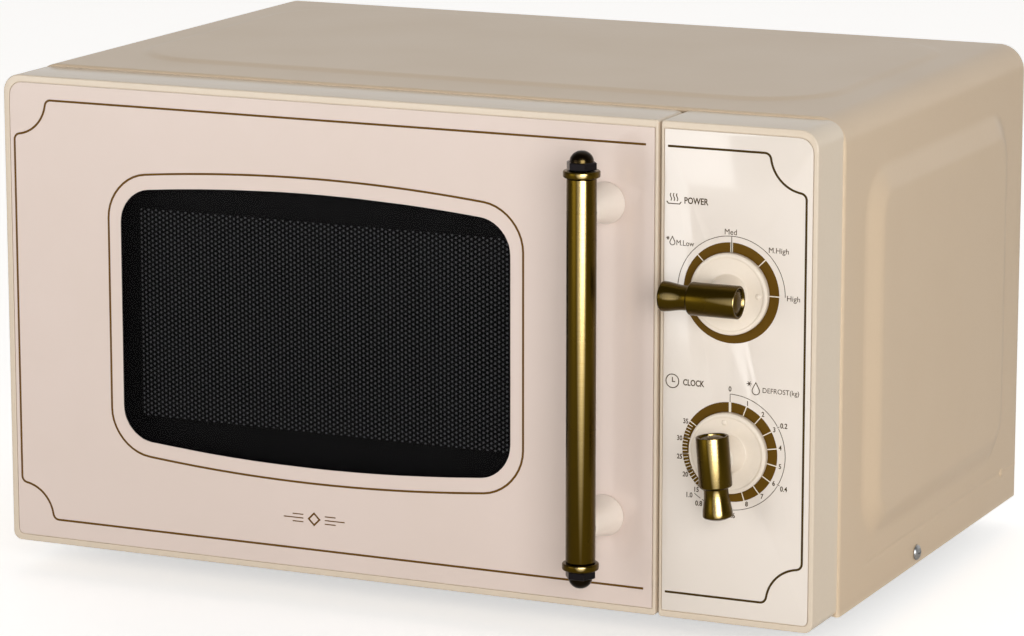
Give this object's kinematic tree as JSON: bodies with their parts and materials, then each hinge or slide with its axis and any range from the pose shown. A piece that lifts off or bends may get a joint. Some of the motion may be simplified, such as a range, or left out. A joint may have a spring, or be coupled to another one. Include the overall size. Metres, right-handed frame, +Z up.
{
  "type": "microwave oven",
  "caption": "Countertop microwave oven in retro style: cream side-hinged door with a crowned dark window, upright brass bar handle, rotary power and timer dials, and a glass turntable.",
  "frame": {"origin": "on the ground, below the middle of the whole oven with its handle and rear screws", "axes": "+X to the right as seen from the front, along the width; +Y from the door to the back; +Z up"},
  "size_m": [0.452, 0.3446, 0.2606],
  "materials": {
    "painted_steel": "satin baked paint",
    "cream_plastic": "glossy moulded ABS",
    "ivory_plastic": "satin moulded ABS",
    "plate_paint": "satin baked paint",
    "cavity_enamel": "satin epoxy enamel",
    "zinc_steel": "zinc plated",
    "laminated_steel": "varnished laminations",
    "aluminium": "bare",
    "copper_wire": "lacquered copper",
    "antique_brass": "aged and lacquered brass plating",
    "dark_brass": "blackened brass",
    "smoked_glass": "gloss",
    "clear_glass": "gloss",
    "black_steel": "black enamel",
    "black_nylon": "moulded",
    "white_nylon": "moulded",
    "mica": "pressed sheet",
    "rubber": "moulded"
  },
  "bodies": {
    "cabinet": {"cabinet_wrap": "painted_steel", "base_plate": "zinc_steel", "back_plate": "zinc_steel", "front_plate": "plate_paint", "cavity_wrap": "cavity_enamel", "cavity_floor": "cavity_enamel", "cavity_rear": "cavity_enamel", "waveguide_cover": "mica", "control_panel": "ivory_plastic", "timer_unit": "white_nylon", "cord_gland": "black_nylon", "rear_screw_1": "zinc_steel", "rear_screw_2": "zinc_steel", "rear_screw_3": "zinc_steel", "side_screw_left": "zinc_steel", "side_screw_right": "zinc_steel", "foot_front_left": "rubber", "foot_front_right": "rubber", "foot_rear_left": "rubber", "foot_rear_right": "rubber", "upper_hinge_plate": "zinc_steel", "lower_hinge_plate": "zinc_steel", "waveguide": "zinc_steel", "magnetron": "aluminium", "transformer_core": "laminated_steel", "transformer_winding": "copper_wire", "capacitor": "aluminium", "fan_shroud": "black_nylon", "fan_motor": "laminated_steel", "turntable_motor": "zinc_steel", "oven_lamp": "clear_glass", "latch_board": "white_nylon", "door_switch_lower": "black_nylon", "door_switch_upper": "black_nylon", "line_filter": "white_nylon"},
    "door": {"door_frame": "cream_plastic", "door_glass": "smoked_glass", "door_screen": "black_steel", "door_choke": "black_steel", "door_inner_cover": "black_nylon", "handle_tube": "antique_brass", "handle_collar_lower": "antique_brass", "handle_collar_upper": "antique_brass", "handle_nut_lower": "dark_brass", "handle_nut_upper": "dark_brass", "handle_post_lower": "cream_plastic", "handle_post_upper": "cream_plastic", "latch_spring": "zinc_steel"},
    "latch": {"door_latch": "white_nylon"},
    "turntable": {"turntable_glass": "clear_glass", "turntable_coupler": "white_nylon"},
    "roller_carrier": {"roller_ring": "white_nylon"},
    "roller_a": {"roller_1": "white_nylon"},
    "roller_b": {"roller_2": "white_nylon"},
    "roller_c": {"roller_3": "white_nylon"},
    "fan": {"fan_blade": "black_nylon"},
    "power_knob": {"power_dial": "ivory_plastic", "power_lever": "antique_brass"},
    "timer_knob": {"timer_dial": "ivory_plastic", "timer_lever": "antique_brass"}
  },
  "joints": [
    {"name": "door_hinge", "type": "hinge", "parent": "cabinet", "child": "door", "pos_m": [-0.21325, -0.1275, 0.137], "axis": [0, 0, -1], "range_deg": [0, 105]},
    {"name": "latch_slide", "type": "slide", "parent": "door", "child": "latch", "axis": [0, 0, 1], "range_m": [0, 0.005], "stiffness_N_per_m": 200, "springref_m": -0.005, "deforming": ["latch_spring"]},
    {"name": "power_dial_turn", "type": "hinge", "parent": "cabinet", "child": "power_knob", "pos_m": [0.17665, -0.134, 0.178], "axis": [0, -1, 0], "range_deg": [0, 180]},
    {"name": "timer_dial_turn", "type": "hinge", "parent": "cabinet", "child": "timer_knob", "pos_m": [0.17665, -0.134, 0.1008], "axis": [0, 1, 0], "range_deg": [0, 305]},
    {"name": "turntable_spin", "type": "hinge", "parent": "cabinet", "child": "turntable", "pos_m": [-0.04575, 0.0321, 0.0504], "axis": [0, 0, 1], "continuous": true},
    {"name": "carrier_spin", "type": "hinge", "parent": "cabinet", "child": "roller_carrier", "pos_m": [-0.04575, 0.0321, 0.0431], "axis": [0, 0, 1], "continuous": true},
    {"name": "roller_a_spin", "type": "hinge", "parent": "roller_carrier", "child": "roller_a", "pos_m": [0.04765, 0.0321, 0.0431], "axis": [1, 0, 0], "continuous": true},
    {"name": "roller_b_spin", "type": "hinge", "parent": "roller_carrier", "child": "roller_b", "pos_m": [-0.09245, 0.11299, 0.0431], "axis": [-0.5, 0.866, 0], "continuous": true},
    {"name": "roller_c_spin", "type": "hinge", "parent": "roller_carrier", "child": "roller_c", "pos_m": [-0.09245, -0.04879, 0.0431], "axis": [-0.5, -0.866, 0], "continuous": true},
    {"name": "fan_spin", "type": "hinge", "parent": "cabinet", "child": "fan", "pos_m": [0.1656, 0.15, 0.159], "axis": [0, 1, 0], "continuous": true}
  ],
  "couplings": [
    {"joint": "carrier_spin", "follows": "turntable_spin", "ratio": 0.5},
    {"joint": "roller_a_spin", "follows": "turntable_spin", "ratio": -6.6714},
    {"joint": "roller_b_spin", "follows": "turntable_spin", "ratio": -6.6714},
    {"joint": "roller_c_spin", "follows": "turntable_spin", "ratio": -6.6714}
  ]
}
